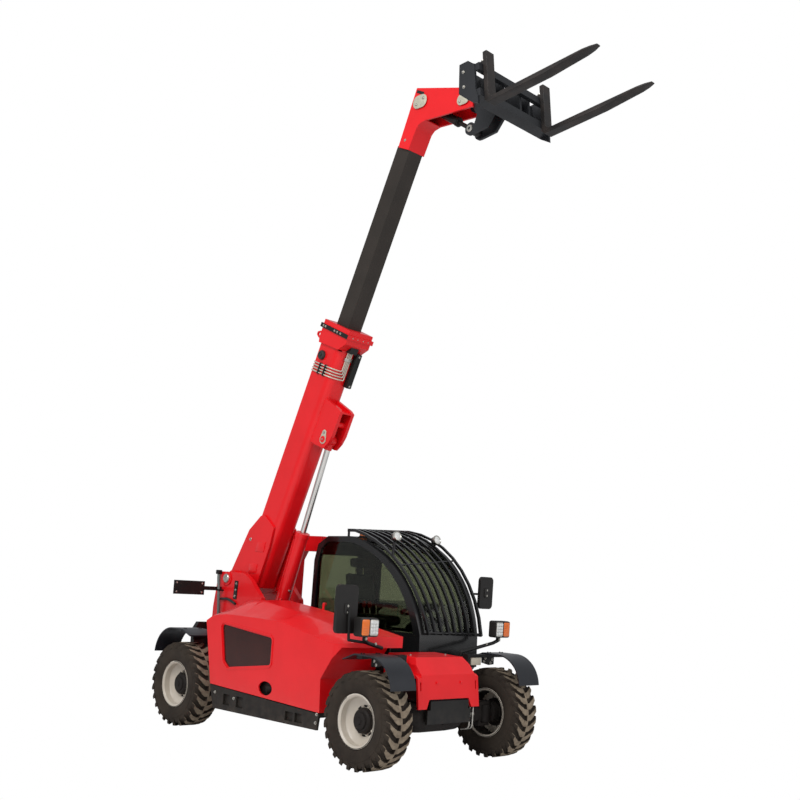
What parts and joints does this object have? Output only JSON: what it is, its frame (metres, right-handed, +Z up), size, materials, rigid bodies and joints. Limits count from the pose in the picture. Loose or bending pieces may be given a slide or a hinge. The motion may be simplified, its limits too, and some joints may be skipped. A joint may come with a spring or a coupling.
{
  "type": "compact telescopic handler",
  "caption": "Compact telescopic handler: four-wheel-steer chassis, side cab, two-stage boom raised and run out, tilting carriage with pallet forks.",
  "frame": {"origin": "on the ground under the middle of the whole machine's box, forks included, on the boom's centre plane", "axes": "+X forward, +Y to the machine's left, where the cab is, +Z up"},
  "size_m": [4.8947, 2.23, 6.2341],
  "materials": {
    "red_paint": "glossy red paint",
    "black_paint": "satin black paint",
    "gloss_black": "gloss black paint",
    "boom_grey": "dark brown-grey paint",
    "dark_grey": "satin dark grey paint",
    "fender_plastic": "moulded black plastic",
    "chrome_rod": "polished chrome",
    "cast": "painted casting",
    "fork_steel": "worn black paint",
    "tinted_glass": "tinted safety glass",
    "seat_fabric": "black fabric",
    "amber": "amber lens",
    "lamp": "lamp lens",
    "tyre": "black rubber",
    "rim_silver": "silver-grey paint"
  },
  "bodies": {
    "chassis": {"chassis_frame": "black_paint", "boom_tower": "red_paint", "front_axle": "black_paint", "rear_axle": "black_paint", "bonnet": "red_paint", "side_skirt": "dark_grey", "fuel_tank": "black_paint", "engine_block": "cast", "fenders": "fender_plastic", "lamp_arms": "black_paint", "drive_lamps": "lamp", "mirrors": "black_paint", "cab_shell": "gloss_black", "cab_roof": "gloss_black", "cab_glass": "tinted_glass", "cab_guard": "gloss_black", "cab_brace": "red_paint", "seat": "seat_fabric", "steering_column": "black_paint", "counterweight": "red_paint", "plate_bracket": "black_paint", "beacon": "amber"},
    "hood": {"engine_hood": "red_paint", "hood_window": "tinted_glass"},
    "door": {"door_frame": "gloss_black", "door_glass": "tinted_glass"},
    "boom": {"boom_outer": "red_paint"},
    "boom_slide": {"boom_inner": "boom_grey"},
    "carriage": {"fork_carriage": "dark_grey"},
    "fork_right": {"fork_right": "fork_steel"},
    "fork_left": {"fork_left": "fork_steel"},
    "lift_barrel": {"lift_barrel": "red_paint"},
    "lift_rod": {"lift_rod": "chrome_rod"},
    "tilt_barrel": {"tilt_barrel": "black_paint"},
    "tilt_rod": {"tilt_rod": "chrome_rod"},
    "knuckle_front_right": {"knuckle_front_right": "black_paint"},
    "wheel_front_right": {"tyre_front_right": "tyre", "rim_front_right": "rim_silver"},
    "knuckle_front_left": {"knuckle_front_left": "black_paint"},
    "wheel_front_left": {"tyre_front_left": "tyre", "rim_front_left": "rim_silver"},
    "knuckle_rear_right": {"knuckle_rear_right": "black_paint"},
    "wheel_rear_right": {"tyre_rear_right": "tyre", "rim_rear_right": "rim_silver"},
    "knuckle_rear_left": {"knuckle_rear_left": "black_paint"},
    "wheel_rear_left": {"tyre_rear_left": "tyre", "rim_rear_left": "rim_silver"}
  },
  "joints": [
    {"name": "boom_lift", "type": "hinge", "parent": "chassis", "child": "boom", "pos_m": [-2.068, 0, 1.454], "axis": [0, 1, 0], "range_deg": [-1, 68.8]},
    {"name": "boom_extend", "type": "slide", "parent": "boom", "child": "boom_slide", "axis": [0.3935, 0, 0.9193], "range_m": [-1.72, 0]},
    {"name": "carriage_tilt", "type": "hinge", "parent": "boom_slide", "child": "carriage", "pos_m": [0.735, 0, 5.955], "axis": [0, -1, 0], "range_deg": [-50, 48]},
    {"name": "fork_right_shift", "type": "slide", "parent": "carriage", "child": "fork_right", "axis": [0, -1, 0], "range_m": [-0.28, 0.03]},
    {"name": "fork_left_shift", "type": "slide", "parent": "carriage", "child": "fork_left", "axis": [0, 1, 0], "range_m": [-0.28, 0.03]},
    {"name": "lift_barrel_swing", "type": "hinge", "parent": "chassis", "child": "lift_barrel", "pos_m": [-1.611, 0, 0.827], "axis": [0, 1, 0], "range_deg": [-1.1, 68.6]},
    {"name": "lift_rod_slide", "type": "slide", "parent": "lift_barrel", "child": "lift_rod", "axis": [0.322, 0, 0.9467], "range_m": [-0.88, 0.015]},
    {"name": "tilt_barrel_swing", "type": "hinge", "parent": "boom_slide", "child": "tilt_barrel", "pos_m": [0.167, 0, 6.081], "axis": [0, -1, 0], "range_deg": [-13.2, 12.8]},
    {"name": "tilt_rod_slide", "type": "slide", "parent": "tilt_barrel", "child": "tilt_rod", "axis": [0.8426, 0, -0.5386], "range_m": [-0.17, 0.165]},
    {"name": "hood_hinge", "type": "hinge", "parent": "chassis", "child": "hood", "pos_m": [-0.55, -0.29, 1.29], "axis": [-1, 0, 0], "range_deg": [0, 60]},
    {"name": "door_hinge", "type": "hinge", "parent": "chassis", "child": "door", "pos_m": [-0.977, 0.85, 1.27], "axis": [0, 0, 1], "range_deg": [0, 90]},
    {"name": "steer_front_right", "type": "hinge", "parent": "chassis", "child": "knuckle_front_right", "pos_m": [0.7775, -0.64, 0.406], "axis": [0, 0, 1], "range_deg": [-30, 30]},
    {"name": "spin_front_right", "type": "hinge", "parent": "knuckle_front_right", "child": "wheel_front_right", "pos_m": [0.7775, -0.791, 0.406], "axis": [0, 1, 0], "continuous": true},
    {"name": "steer_front_left", "type": "hinge", "parent": "chassis", "child": "knuckle_front_left", "pos_m": [0.7775, 0.64, 0.406], "axis": [0, 0, 1], "range_deg": [-30, 30]},
    {"name": "spin_front_left", "type": "hinge", "parent": "knuckle_front_left", "child": "wheel_front_left", "pos_m": [0.7775, 0.791, 0.406], "axis": [0, 1, 0], "continuous": true},
    {"name": "steer_rear_right", "type": "hinge", "parent": "chassis", "child": "knuckle_rear_right", "pos_m": [-1.8775, -0.64, 0.406], "axis": [0, 0, 1], "range_deg": [-30, 30]},
    {"name": "spin_rear_right", "type": "hinge", "parent": "knuckle_rear_right", "child": "wheel_rear_right", "pos_m": [-1.8775, -0.791, 0.406], "axis": [0, 1, 0], "continuous": true},
    {"name": "steer_rear_left", "type": "hinge", "parent": "chassis", "child": "knuckle_rear_left", "pos_m": [-1.8775, 0.64, 0.406], "axis": [0, 0, 1], "range_deg": [-30, 30]},
    {"name": "spin_rear_left", "type": "hinge", "parent": "knuckle_rear_left", "child": "wheel_rear_left", "pos_m": [-1.8775, 0.791, 0.406], "axis": [0, 1, 0], "continuous": true}
  ],
  "couplings": [
    {"joint": "lift_barrel_swing", "follows": "boom_lift", "ratio": 0.99292},
    {"joint": "lift_rod_slide", "follows": "boom_lift", "m_per_rad": -0.72999},
    {"joint": "tilt_barrel_swing", "follows": "carriage_tilt", "ratio": 0.2572},
    {"joint": "tilt_rod_slide", "follows": "carriage_tilt", "m_per_rad": 0.1923},
    {"joint": "steer_front_left", "follows": "steer_front_right", "ratio": 1},
    {"joint": "steer_rear_left", "follows": "steer_rear_right", "ratio": 1}
  ]
}
